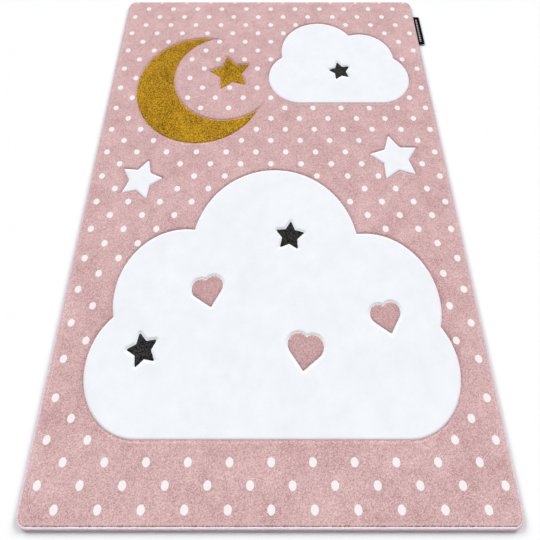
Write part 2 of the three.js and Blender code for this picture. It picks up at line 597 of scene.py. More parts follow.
class Graph:
    """Adds nodes to a node tree and joins them, so that a finish reads as a list of steps."""

    def __init__(self, tree: bpy.types.NodeTree) -> None:
        """Starts with the tree that the nodes go into."""
        self.tree = tree

    def node(self, kind: str, inputs: dict[str, Any] | None = None, **settings: Any) -> bpy.types.Node:
        """Adds one node.

        Args:
            kind: Blender's name of the node's type.
            inputs: A value or another node's output for each named or numbered input.
            settings: The node's own settings.

        Returns:
            The new node.
        """
        made = self.tree.nodes.new(kind)
        for key, value in settings.items():
            setattr(made, key, value)
        for key, value in (inputs or {}).items():
            socket = made.inputs[int(key) if key.isdigit() else key]
            if isinstance(value, bpy.types.NodeSocket):
                self.tree.links.new(value, socket)
            else:
                socket.default_value = value
        return made

    def group(self, name: str, inputs: dict[str, Any]) -> bpy.types.bpy_prop_collection:
        """Adds one of the shared node groups and returns its outputs."""
        return self.node("ShaderNodeGroup", inputs, node_tree=bpy.data.node_groups[name]).outputs

    def math(
        self, operation: str, first: Any, second: Any = 0.0, clamp: bool = False
    ) -> bpy.types.NodeSocket:
        """Reckons with one or two values and returns the result's output."""
        values = {"0": first, "1": second}
        return self.node("ShaderNodeMath", values, operation=operation, use_clamp=clamp).outputs[0]

    def total(self, first: Any, *others: Any) -> bpy.types.NodeSocket:
        """Adds up several values and returns the sum's output."""
        for value in others:
            first = self.math("ADD", first, value)
        return first

    def swing(self, value: Any, share: Any, middle: float = 0.5) -> bpy.types.NodeSocket:
        """Takes the middle off a value, multiplies the rest by a share and returns the result's output."""
        return self.math("MULTIPLY", self.math("SUBTRACT", value, middle), share)

    def mix(self, factor: Any, first: Any, second: Any) -> bpy.types.NodeSocket:
        """Mixes two colours and returns the result's output."""
        inputs = {"0": factor, "6": first, "7": second}
        return self.node("ShaderNodeMix", inputs, data_type="RGBA").outputs[2]

    def attribute(self, name: str) -> bpy.types.NodeSocket:
        """Reads one of the piece's own numbers."""
        return self.node("ShaderNodeAttribute", attribute_name=name).outputs["Fac"]

    def place(self) -> bpy.types.NodeSocket:
        """Reads the piece's own coordinates."""
        return self.node("ShaderNodeTexCoord").outputs["Object"]

    def noise(self, scale: Any, detail: float) -> bpy.types.NodeSocket:
        """Adds a cloud pattern on the piece's own coordinates."""
        inputs = {"Vector": self.place(), "Scale": scale, "Detail": detail}
        return self.node("ShaderNodeTexNoise", inputs).outputs[0]


def linear(red: float, green: float, blue: float) -> Colour:
    """Turns a colour as a screen shows it, from 0 to 255, into one that light is reckoned with."""
    shares = np.array([red, green, blue]) / 255
    ridge_shading = np.where(shares <= 0.04045, shares / 12.92, ((shares + 0.055) / 1.055) ** 2.4)
    return (float(ridge_shading[0]), float(ridge_shading[1]), float(ridge_shading[2]), 1.0)


def group_tree(name: str, inputs: dict[str, float], outputs: tuple[str, ...]) -> bpy.types.NodeTree:
    """Starts a shader node group that takes and gives plain numbers.

    Args:
        name: The group's name.
        inputs: Each input's name and first value.
        outputs: The outputs' names.

    Returns:
        The group, still without nodes.
    """
    tree = bpy.data.node_groups.new(name, "ShaderNodeTree")
    kind = "NodeSocketFloat"
    for label, value in inputs.items():
        tree.interface.new_socket(label, in_out="INPUT", socket_type=kind).default_value = value
    for label in outputs:
        tree.interface.new_socket(label, in_out="OUTPUT", socket_type=kind)
    return tree


TUFTS_PER_METRE = 540.0
FIBRES_PER_METRE = 900.0
PATCHES = ((9.0, 3.0), (28.0, 2.0))
CUT_HEIGHT_PAINTED_LIGHT = 0.1
DOME_SHARE = 0.8
FIBRE_SHARE = 0.5
RIDGE_PAINTED_SHADE = 0.25
FUZZ_TONE = 0.4
FUZZ_SHARE = 0.6
THREAD_BUMP = 0.7


def tuft_group() -> bpy.types.NodeTree:
    """The grain of cut pile: how light each tuft is, and how its cut fibres stand.

    The tone is a half, plus shares of a random number for each tuft, of a fine grain, of painted light on
    the tufts that were cut taller and of a slow drift over the rug, less painted shade where a groove is
    carved, beside the motifs, on the pile's wall and along the ends' seam. Where that number is below 0 it
    gives painted light instead. A tuft stands as a small dome with fibres on it.

    Returns:
        The group, with the outputs Tone and Fibres.
    """
    names = {"Tuft": 0.5, "Carve": 0.0, "Fleck": 0.5, "Grain": 0.5, "Drift": 0.2, "Shade": 0.5}
    tree = group_tree("cut_pile", names, ("Tone", "Fibres"))
    graph = Graph(tree)
    given = graph.node("NodeGroupInput").outputs
    cells = {"Vector": graph.place(), "Scale": TUFTS_PER_METRE}
    tips = graph.node("ShaderNodeTexVoronoi", cells, voronoi_dimensions="2D").outputs
    own = graph.node("ShaderNodeSeparateColor", {"Color": tips["Color"]}).outputs["Red"]
    fibres = graph.noise(FIBRES_PER_METRE, 2.0)
    patches = graph.total(*(graph.noise(scale, detail) for scale, detail in PATCHES))
    parts = (
        graph.swing(own, given["Fleck"]),
        graph.swing(fibres, given["Grain"]),
        graph.swing(patches, given["Drift"], middle=1.0),
        # Painted light: the tufts that were cut taller are lighter.
        graph.swing(given["Tuft"], CUT_HEIGHT_PAINTED_LIGHT),
    )
    # Painted shade from the carving number, and painted light where that number is below 0.
    painted_carve_shading = graph.math("MULTIPLY", given["Carve"], given["Shade"])
    tone = graph.math("SUBTRACT", graph.total(*parts, 0.5), painted_carve_shading, clamp=True)
    dome = graph.math("SUBTRACT", DOME_SHARE, graph.math("MULTIPLY", tips["Distance"], DOME_SHARE))
    height = graph.total(dome, graph.math("MULTIPLY", fibres, FIBRE_SHARE))
    graph.node("NodeGroupOutput", {"Tone": tone, "Fibres": height})
    return tree


def twist_group() -> bpy.types.NodeTree:
    """The lay of spun yarn or woven thread: fine slanting ridges on a piece's own map.

    Returns:
        The group, with the outputs Ridge and Fuzz.
    """
    names = {"Across": 900.0, "Along": 900.0, "Fuzz Scale": 900.0}
    tree = group_tree("yarn_lay", names, ("Ridge", "Fuzz"))
    graph = Graph(tree)
    given = graph.node("NodeGroupInput").outputs
    place = graph.node("ShaderNodeUVMap", uv_map=YARN_MAP).outputs[0]
    apart = graph.node("ShaderNodeSeparateXYZ", {"0": place}).outputs
    across = graph.math("MULTIPLY", apart[0], given["Across"])
    along = graph.math("MULTIPLY", apart[1], given["Along"])
    wave = graph.math("SINE", graph.math("ADD", across, along))
    ridge = graph.math("ADD", graph.math("MULTIPLY", wave, 0.5), 0.5)
    graph.node("NodeGroupOutput", {"Ridge": ridge, "Fuzz": graph.noise(given["Fuzz Scale"], 3.0)})
    return tree


def cloth_shader(name: str, **values: Any) -> tuple[bpy.types.Material, Graph, bpy.types.Node]:
    """Makes a material with one cloth shader.

    Args:
        name: The material's name.
        values: The shader's constant inputs, with _ for the spaces in their names.

    Returns:
        The material, its graph and its shader node.
    """
    material = bpy.data.materials.new(name)
    material.use_nodes = True
    material.node_tree.nodes.clear()
    graph = Graph(material.node_tree)
    inputs = {key.replace("_", " "): value for key, value in values.items()}
    cloth = graph.node("ShaderNodeBsdfPrincipled", inputs)
    graph.node("ShaderNodeOutputMaterial", {"Surface": cloth.outputs[0]})
    return material, graph, cloth


def feed(
    graph: Graph, cloth: bpy.types.Node, colour: Any, height: Any, relief: float, strength: float = 1.0
) -> None:
    """Feeds a colour and a height into the shader.

    Args:
        graph: The material's graph.
        cloth: Its shader node.
        colour: The output that holds the colour.
        height: The output that holds the height, from 0 to 1.
        relief: How high 1 stands, in metres.
        strength: The share of the height that shows, from 0 to 1.
    """
    bump = graph.node("ShaderNodeBump", {"Height": height, "Distance": relief, "Strength": strength})
    graph.tree.links.new(colour, cloth.inputs["Base Color"])
    graph.tree.links.new(bump.outputs[0], cloth.inputs["Normal"])


@dataclass(frozen=True)
class PileFinish:
    """Cut pile of one yarn: two tones of it, mixed tuft by tuft."""

    name: str
    dark: Colour
    light: Colour
    fleck: float
    grain: float
    drift: float
    shade: float
    sheen: float
    relief: float = 0.3 * MM

    def material(self) -> bpy.types.Material:
        """Builds the material.

        Returns:
            A matt material whose tone follows the tufts, the painted shade and light of the carving number
            and a slow drift.
        """
        made, graph, cloth = cloth_shader(
            self.name,
            Roughness=0.95,
            Specular_IOR_Level=0.15,
            Sheen_Weight=self.sheen,
            Sheen_Roughness=0.6,
            Sheen_Tint=self.light,
        )
        inputs = {
            "Tuft": graph.attribute("tuft"),
            "Carve": graph.attribute("carve_and_painted_shading"),
            "Fleck": self.fleck,
            "Grain": self.grain,
            "Drift": self.drift,
            "Shade": self.shade,
        }
        tufts = graph.group("cut_pile", inputs)
        feed(graph, cloth, graph.mix(tufts["Tone"], self.dark, self.light), tufts["Fibres"], self.relief)
        return made


@dataclass(frozen=True)
class ThreadFinish:
    """Smooth spun or woven thread with a soft sheen, with fine ridges along its lay."""

    name: str
    dark: Colour
    light: Colour
    across: float
    along: float
    roughness: float
    relief: float
    sheen: float
    shine: float
    pattern: Colour | None = None

    def material(self) -> bpy.types.Material:
        """Builds the material.

        Returns:
            A material whose tone follows painted shade between the yarn's ridges, its fuzz and each thread's
            own number.
        """
        made, graph, cloth = cloth_shader(
            self.name,
            Roughness=self.roughness,
            Specular_IOR_Level=self.shine,
            Sheen_Weight=self.sheen,
            Sheen_Roughness=0.5,
        )
        lay = graph.group("yarn_lay", {"Across": self.across, "Along": self.along})
        # Painted shade: the colour is darker in the grooves between the yarn's ridges.
        ridge_shading = graph.swing(lay["Ridge"], RIDGE_PAINTED_SHADE)
        fuzz = graph.swing(lay["Fuzz"], FUZZ_TONE)
        tone = graph.math("ADD", graph.total(graph.attribute("thread"), ridge_shading), fuzz, clamp=True)
        colour = graph.mix(tone, self.dark, self.light)
        if self.pattern is not None:
            colour = graph.mix(graph.attribute("figure"), colour, self.pattern)
        height = graph.total(lay["Ridge"], graph.math("MULTIPLY", lay["Fuzz"], FUZZ_SHARE))
        feed(graph, cloth, colour, height, self.relief, THREAD_BUMP)
        return made


# Each yarn's shade scales the painted shade of the carving number; the gold's is below 0, so it is painted
# lighter beside its grooves.
PILE_FINISHES = {
    Yarn.GROUND: PileFinish(
        "dusty_pink_pile",
        dark=linear(170, 126, 126),
        light=linear(235, 202, 201),
        fleck=0.66,
        grain=0.6,
        drift=0.4,
        shade=0.3,
        sheen=0.2,
    ),
    Yarn.WHITE: PileFinish(
        "white_pile",
        dark=linear(224, 227, 230),
        light=linear(245, 247, 249),
        fleck=0.04,
        grain=0.12,
        drift=0.45,
        shade=0.17,
        sheen=0.2,
        relief=0.15 * MM,
    ),
    Yarn.GOLD: PileFinish(
        "mustard_pile",
        dark=linear(80, 42, 0),
        light=linear(218, 168, 34),
        fleck=1.1,
        grain=0.8,
        drift=0.5,
        shade=-0.1,
        sheen=0.0,
    ),
    Yarn.CHARCOAL: PileFinish(
        "charcoal_pile",
        dark=linear(0, 0, 0),
        light=linear(62, 62, 62),
        fleck=2.8,
        grain=1.4,
        drift=0.2,
        shade=0.0,
        sheen=0.0,
    ),
    Yarn.ROSE: PileFinish(
        "rose_pile",
        dark=linear(154, 113, 112),
        light=linear(225, 188, 187),
        fleck=0.6,
        grain=0.5,
        drift=0.3,
        shade=0.2,
        sheen=0.15,
    ),
}
DOT_FINISH = PileFinish(
    "white_dot_pile",
    dark=linear(232, 226, 225),
    light=linear(249, 243, 242),
    fleck=0.1,
    grain=0.15,
    drift=0.5,
    shade=0.0,
    sheen=0.1,
    relief=0.15 * MM,
)
BINDING_FINISH = ThreadFinish(
    "overcast_yarn",
    dark=linear(204, 174, 176),
    light=linear(255, 237, 238),
    across=2600.0,
    along=1500.0,
    roughness=0.75,
    relief=0.25 * MM,
    sheen=0.1,
    shine=0.1,
)
RIBBON_FINISH = ThreadFinish(
    "black_ribbon",
    dark=linear(1, 1, 1),
    light=linear(6, 6, 6),
    across=5200.0,
    along=0.0,
    roughness=0.7,
    relief=0.08 * MM,
    sheen=0.0,
    shine=0.02,
    pattern=linear(176, 166, 168),
)
BACK_FINISH = ThreadFinish(
    "woven_back",
    dark=linear(170, 156, 134),
    light=linear(214, 203, 184),
    across=0.0,
    along=2400.0,
    roughness=0.9,
    relief=0.3 * MM,
    sheen=0.2,
    shine=0.1,
)


@dataclass
class PileSurface:
    """The whole pile as one surface, before it is cut into pieces."""

    points: Array
    quads: Array
    piece_numbers: Array
    tuft: Array
    carve_and_painted_shading: Array
    flat_places: Array
    first_of_wall: int


@dataclass
class Pile:
    """The short cut pile, with the carved grooves round its motifs."""

    sizes: RugSizes
    artwork: Artwork
    pitch_across: float = 2.7 * MM
    pitch_along: float = 2.45 * MM
    foot: float = 4.7 * MM
    foot_inset: float = 0.8 * MM
    wall_tuft_shade: float = 0.5
    lip_shade: float = 0.3
    shoulder_width: float = 10.0 * MM
    shoulder_drop: float = 1.9 * MM
    groove_depth: float = 2.3 * MM
    groove_width: float = 2.7 * MM
    groove_shift: float = 1.4 * MM
    halo_painted_shade: float = 0.45
    halo_shade_width: float = 9.0 * MM
    tuft_height: float = 0.05 * MM
    swell: float = 0.25 * MM
    swell_wave: float = 140.0 * MM
    lean: float = 0.26
    calm: float = 0.2
    rim_reach: float = 2.1 * MM
    near_reach: float = 1.2 * MM
    rim_stray: float = 0.9 * MM
    rim_wave: float = 9.0 * MM
    rim_ragged: float = 0.55
    seam_shade: float = 3.6
    clear_of_binding: float = 0.15 * MM
    tuck: float = 0.2 * MM
    rim_light_width: float = 9.0 * MM
    rim_painted_light: float = 2.2
    side_painted_light: float = 0.2
    ragged: float = 0.3 * MM
    snap: float = 0.55
    on_outline: float = 0.5 * MM
    slope_step: float = 0.1 * MM
    dots_name: str = "pile_dots_white"
    ground_names: tuple[str, str] = ("pile_ground_near", "pile_ground_far")

    def grid(self) -> tuple[Array, Array, Array]:
        """Places one tuft at each crossing of warp and weft, a little off it as real tufts lean.

        Crossings outside a round corner are drawn in to the outline, straight along its outward direction.
        Tufts next to a change of yarn are drawn onto it, so that the motifs have clean edges.

        Returns:
            The tufts' X and Y as arrays with a row for each warp, and whether each lies on the outline.
        """
        outline = self.sizes.inner()
        across = round(2 * outline.half_width / self.pitch_across)
        along = round(2 * outline.half_length / self.pitch_along)
        x, y = np.meshgrid(
            np.linspace(-outline.half_width, outline.half_width, across + 1),
            np.linspace(-outline.half_length, outline.half_length, along + 1),
            indexing="ij",
        )
        beyond = outline.distance(x, y)
        rim = beyond > -ON_RIM
        away = outline.outward(x, y)
        x = np.where(rim, x - away[..., 0] * beyond, x)
        y = np.where(rim, y - away[..., 1] * beyond, y)
        to_edge = self.artwork.edge_distance(x, y)
        stepped = [(x + self.slope_step, y), (x, y + self.slope_step)]
        slope = np.stack([self.artwork.edge_distance(*place) for place in stepped]) - to_edge
        slope /= np.maximum(np.hypot(slope[0], slope[1]), TINY)
        pitch = min(self.pitch_across, self.pitch_along)
        snapped = (np.abs(to_edge) < self.snap * pitch) & ~rim
        draw = np.random.default_rng(Seed.LEAN)
        free = np.clip(np.abs(to_edge) / pitch - self.calm, self.calm, 1) * ~rim
        stray = draw.uniform(-self.lean, self.lean, (2, *x.shape)) * free
        over = to_edge + draw.uniform(-self.ragged, self.ragged, x.shape)
        x = np.where(snapped, x - slope[0] * over, x + stray[0] * self.pitch_across)
        y = np.where(snapped, y - slope[1] * over, y + stray[1] * self.pitch_along)
        return x, y, rim

    def heights(self, x: Array, y: Array, tuft: Array, carve_and_painted_shading: Array) -> Array:
        """The height of each tuft's tip.

        It is the pile's full height, less a round shoulder near the edge that falls with the square of the
        distance to the shoulder's inner line, less the carved grooves, plus a slow swell and the tuft's own
        unevenness.

        Args:
            x: The tufts' places across the rug.
            y: Their places along the rug.
            tuft: Each tuft's own number, from 0 to 1.
            carve_and_painted_shading: How far each tuft is carved, from 0 to 1.

        Returns:
            The heights.
        """
        inset = -self.sizes.inner().distance(x, y)
        shoulder = np.clip(1 - inset / self.shoulder_width, 0, 1) ** 2 * self.shoulder_drop
        uneven = self.swell * ripple(x, y, self.swell_wave, Seed.SWELL) + self.tuft_height * (2 * tuft - 1)
        return self.sizes.pile_top - shoulder - carve_and_painted_shading * self.groove_depth + uneven

    def surface(self) -> PileSurface:
        """Works out the whole pile, and the wall that it ends in all round.

        Near the rim the pile is painted lighter, a painted highlight that is strongest along the near end,
        which takes the carving's number below 0 there. The outermost ring leans out over the binding's lip,
        less so along the near end. Along both ends its rim is painted darker, a painted shadow as a thin
        seam.

        Returns:
            The surface, with the number of the motif that each face belongs to, or ON_GROUND or ON_DOT. A
            face belongs where its corner lies that is farthest from any change of yarn.
        """
        x, y, rim = self.grid()
        draw = np.random.default_rng(Seed.TUFTS)
        tuft = draw.random(x.shape)
        groove = self.artwork.carved_distance(x, y, self.groove_shift)
        carve_and_painted_shading = np.exp(-((groove / self.groove_width) ** 2))
        z = self.heights(x, y, tuft, carve_and_painted_shading)
        z = np.where(rim, np.maximum(z, self.sizes.binding_height + self.clear_of_binding), z)
        # Painted shade: a wide dark halo round each motif's groove.
        carve_and_painted_shading = np.maximum(carve_and_painted_shading, self.halo_painted_shade * np.exp(-((groove / self.halo_shade_width) ** 2)))
        outline = self.sizes.inner()
        away = outline.outward(x, y)
        # Painted light: the pile is lighter near the rim, most of all along the near end.
        rim_light = self.rim_painted_light * np.clip(self.side_painted_light - away[..., 1], 0, 1)
        carve_and_painted_shading -= rim_light * np.clip(1 + outline.distance(x, y) / self.rim_light_width, 0, 1)
        waved = (1 - self.rim_ragged) * ripple(x, y, self.rim_wave, Seed.RIM)
        strayed = waved + self.rim_ragged * draw.uniform(-1, 1, x.shape)
        # Painted shadow: the rim is darker along both ends, in dashes, as a thin seam.
        carve_and_painted_shading += np.where(rim, self.seam_shade * np.abs(away[..., 1]) * (1 + strayed), 0)
        near = np.clip(-away[..., 1], 0, 1)
        reach = self.rim_reach + (self.near_reach - self.rim_reach) * near
        out = np.where(rim, reach + self.rim_stray * strayed, 0)
        tips = np.stack([x + away[..., 0] * out, y + away[..., 1] * out, z], axis=-1).reshape(-1, 3)
        quads = rows_of_quads(*x.shape)
        quads = quads[~rim.ravel()[quads].all(axis=1)]
        side = self.artwork.edge_distance(tips[:, 0], tips[:, 1])
        quads, ends = self.halve_faces(quads, side)
        tips, side, tuft, carve_and_painted_shading, away, out = (
            np.concatenate([values, values[ends].mean(axis=1)])
            for values in (tips, side, tuft.ravel(), carve_and_painted_shading.ravel(), away.reshape(-1, 2), out.ravel())
        )
        clearest = np.abs(side[quads]).argmax(axis=1)
        place = tips[np.take_along_axis(quads, clearest[:, None], axis=1)[:, 0]]
        numbers = self.artwork.piece_at(place[:, 0], place[:, 1])
        dots = self.artwork.dot_distance(place[:, 0], place[:, 1])
        numbers[(numbers == ON_GROUND) & (dots < 0)] = ON_DOT
        open_pile = PileSurface(tips, quads, numbers, tuft, carve_and_painted_shading, tips[:, :2], len(quads))
        return self.with_wall(open_pile, away, out)

    def halve_faces(self, quads: Array, side: Array) -> tuple[Array, Array]:
        """Splits the faces that a change of yarn crosses from corner to corner.

        Such a face has two opposite corners on the outline, and the other two on either side of it. It
        becomes two faces that share a new point at the middle of the line between the first two.

        Args:
            quads: The faces between the tufts.
            side: Each tuft's distance to the nearest change of yarn, with its sign.

        Returns:
            The faces, and the two ends of the line that each new point halves. The new points are numbered
            on from the tufts.
        """
        on_line = np.abs(side) < self.on_outline
        whole = np.ones(len(quads), dtype=bool)
        halves, ends, count = [], [], len(side)
        for turn in (0, 1):
            a, b, c, d = np.roll(quads, -turn, axis=1).T
            cut = on_line[a] & on_line[c] & ~on_line[b] & ~on_line[d] & (side[b] * side[d] < 0)
            a, b, c, d = a[cut], b[cut], c[cut], d[cut]
            middle = count + np.arange(len(a))
            halves += [np.stack([b, c, middle, a], axis=-1), np.stack([d, a, middle, c], axis=-1)]
            ends.append(np.stack([a, c], axis=-1))
            whole &= ~cut
            count += len(a)
        return np.concatenate([quads[whole], *halves]), np.concatenate(ends)

    def with_wall(self, pile: PileSurface, away: Array, out: Array) -> PileSurface:
        """Adds a wall from the surface's open rim down to the pile's foot.

        Each rim edge is one that only one face has. Its two points are repeated three times: in place, so
        that the wall's flat shading leaves the tips alone, beside the binding's lip, which the outermost
        tufts lean over, and at the foot. A face of the wall belongs to the same motif as the face above. The
        wall is painted in shade, a little by the lip and fully at the foot, and its tufts' numbers are
        halved.

        Args:
            pile: The surface of the tufts' tips, still without a wall.
            away: The outward direction at each tip.
            out: How far each tip of the rim leans out over the binding.

        Returns:
            The surface with its wall.
        """
        count = len(pile.points)
        starts, ends = pile.quads.ravel(), np.roll(pile.quads, -1, axis=1).ravel()
        keys = np.minimum(starts, ends).astype(np.int64) * count + np.maximum(starts, ends)
        _, first, counts = np.unique(keys, return_index=True, return_counts=True)
        open_edges = first[counts == 1]
        both_ends = np.concatenate([starts[open_edges], ends[open_edges]])
        rim, at = np.unique(both_ends, return_inverse=True)
        at = at.reshape(2, -1) + count
        top, away = pile.points[rim], away[rim]
        rings, flats, walls = [pile.points, top], [pile.flat_places, top[:, :2]], [pile.quads]
        tufts, carve_shadings = [pile.tuft, pile.tuft[rim]], [pile.carve_and_painted_shading, pile.carve_and_painted_shading[rim]]
        # Painted shade on the wall: lip_shade beside the lip and full shade at the foot.
        levels = (
            (0.0, self.sizes.binding_height - self.tuck, self.lip_shade),
            (self.foot_inset, self.foot, 1.0),
        )
        for level, (inset, height, shade) in enumerate(levels):
            above, below = at + level * len(rim), at + (level + 1) * len(rim)
            walls.append(np.stack([above[1], above[0], below[0], below[1]], axis=-1))
            rings.append(ring_at(top, away, -(out[rim] + inset), height))
            flats.append(top[:, :2] + away * (top[:, 2:] - height))
            tufts.append(tufts[1] * self.wall_tuft_shade)
            carve_shadings.append(np.full(len(rim), shade))
        numbers = [pile.piece_numbers] + [pile.piece_numbers[open_edges // 4]] * len(levels)
        grown = (np.concatenate(parts) for parts in (rings, walls, numbers, tufts, carve_shadings, flats))
        return PileSurface(*grown, pile.first_of_wall)

    def cut_out(self, surface: PileSurface, name: str, faces: Array) -> bpy.types.Object:
        """Makes one piece of the surface.

        Args:
            surface: The whole pile.
            name: The piece's name.
            faces: Which of the surface's faces it holds.

        Returns:
            The piece, with its tufts' numbers and a flat map seen from above. Its wall is shaded flat.
        """
        used, quads = np.unique(surface.quads[faces], return_inverse=True)
        quads = quads.reshape(-1, 4)
        piece = mesh_piece(name, surface.points[used], quads)
        piece.data.polygons.foreach_set("use_smooth", faces < surface.first_of_wall)
        set_attribute(piece, "tuft", surface.tuft[used])
        set_attribute(piece, "carve_and_painted_shading", surface.carve_and_painted_shading[used])
        flat = surface.flat_places[used]
        low, high = flat.min(axis=0), flat.max(axis=0)
        set_map(piece, BAKE_MAP, inside_map((flat - low) / (high - low))[quads])
        return piece

    def build(self) -> list[bpy.types.Object]:
        """Builds every pile piece.

        Returns:
            The ground in two halves, the dots, and a piece for each entry of the artwork.
        """
        surface = self.surface()
        numbers = surface.piece_numbers
        finishes = {yarn: finish.material() for yarn, finish in PILE_FINISHES.items()}
        ground = np.flatnonzero(numbers == ON_GROUND)
        rows = surface.points[surface.quads[ground, 0], 1]
        near = rows < np.median(rows)
        parts = [
            (name, Yarn.GROUND, finishes[Yarn.GROUND], ground[half])
            for name, half in zip(self.ground_names, (near, ~near))
        ]
        parts.append((self.dots_name, Yarn.WHITE, DOT_FINISH.material(), np.flatnonzero(numbers == ON_DOT)))
        parts += [
            (woven.name, woven.yarn, finishes[woven.yarn], np.flatnonzero(numbers == number))
            for number, woven in enumerate(self.artwork.pieces)
        ]
        return [
            install(self.cut_out(surface, name, faces), finish, "rug_field")
            for name, yarn, finish, faces in parts
        ]


@dataclass
class WovenBack:
    """The woven cloth that carries the pile: ribs of weft below, and an edge that the binding grips."""

    sizes: RugSizes
    rib_pitch: float = 6.0 * MM
    samples: int = 4
    columns: int = 36
    rib_depth: float = 0.4 * MM
    knot_share: float = 0.25
    knot_wave: float = 30.0 * MM
    edge_inset: float = 3.5 * MM
    edge_low: float = 1.6 * MM
    top: float = 4.6 * MM
    tone: float = 0.5

    def underside(self, outline: Outline) -> Array:
        """Works out the ribs, as a grid with a row for each quarter of a rib.

        A row's height is the rib's depth times the share that a sine leaves, and a row's width follows the
        outline.

        Args:
            outline: Where the ribs end.

        Returns:
            The points as rows and columns of three numbers each.
        """
        ribs = round(2 * outline.half_length / self.rib_pitch)
        share = np.linspace(0, 1, ribs * self.samples + 1)
        y = outline.half_length * (2 * share - 1)
        into_corner = np.maximum(np.abs(y) - (outline.half_length - outline.corner), 0)
        drawn_in = outline.corner - np.sqrt(np.maximum(outline.corner**2 - into_corner**2, 0))
        half = outline.half_width - drawn_in
        x = half[:, None] * np.linspace(-1, 1, self.columns + 1)
        y = np.broadcast_to(y[:, None], x.shape)
        wave = 0.5 - 0.5 * np.cos(2 * math.pi * ribs * share)[:, None]
        knots = self.knot_share * ripple(x, y, self.knot_wave, Seed.KNOTS)
        return np.stack([x, y, self.rib_depth * np.clip(wave * (1 + knots), 0, 1)], axis=-1)

    def build(self) -> bpy.types.Object:
        """Builds the back as one closed body.

        The rim of the underside is carried up to the edge that the binding grips, and the top is closed by
        a strip for each row.

        Returns:
            The piece.
        """
        outline = self.sizes.inner()
        under = self.underside(outline)
        rows, columns = under.shape[:2]
        under = under.reshape(-1, 3)
        numbers = np.arange(rows * columns).reshape(rows, columns)
        rim = np.concatenate([numbers[0, :-1], numbers[:-1, -1], numbers[-1, :0:-1], numbers[:0:-1, 0]])
        away = outline.outward(under[rim, 0] * A_LITTLE_IN, under[rim, 1])
        edge = self.sizes.binding_width + self.sizes.gap - self.edge_inset
        levels = ((0.0, self.edge_low), (edge, self.edge_low), (edge, self.top))
        points, faces, below = [under], [rows_of_quads(rows, columns)], rim
        for level, (out, height) in enumerate(levels):
            points.append(ring_at(under[rim], away, out, height))
            above = len(under) + level * len(rim) + np.arange(len(rim))
            faces.append(np.stack([below, np.roll(below, -1), np.roll(above, -1), above], axis=-1))
            below = above
        left = below[-np.arange(rows)]
        right = below[columns - 1 : columns - 1 + rows]
        faces.append(np.stack([left[1:-2], right[1:-2], right[2:-1], left[2:-1]], axis=-1))
        near = np.concatenate([below[:columns], [right[1], left[1]]])
        far = np.concatenate([[left[-2], right[-2]], below[columns + rows - 2 : 2 * columns + rows - 2]])
        points = np.concatenate(points)
        piece = mesh_piece("woven_back", points, np.concatenate(faces), (near, far))
        set_attribute(piece, "thread", np.full(len(points), self.tone))
        set_map_from_above(piece, points)
        return install(piece, BACK_FINISH.material(), "rug_field")


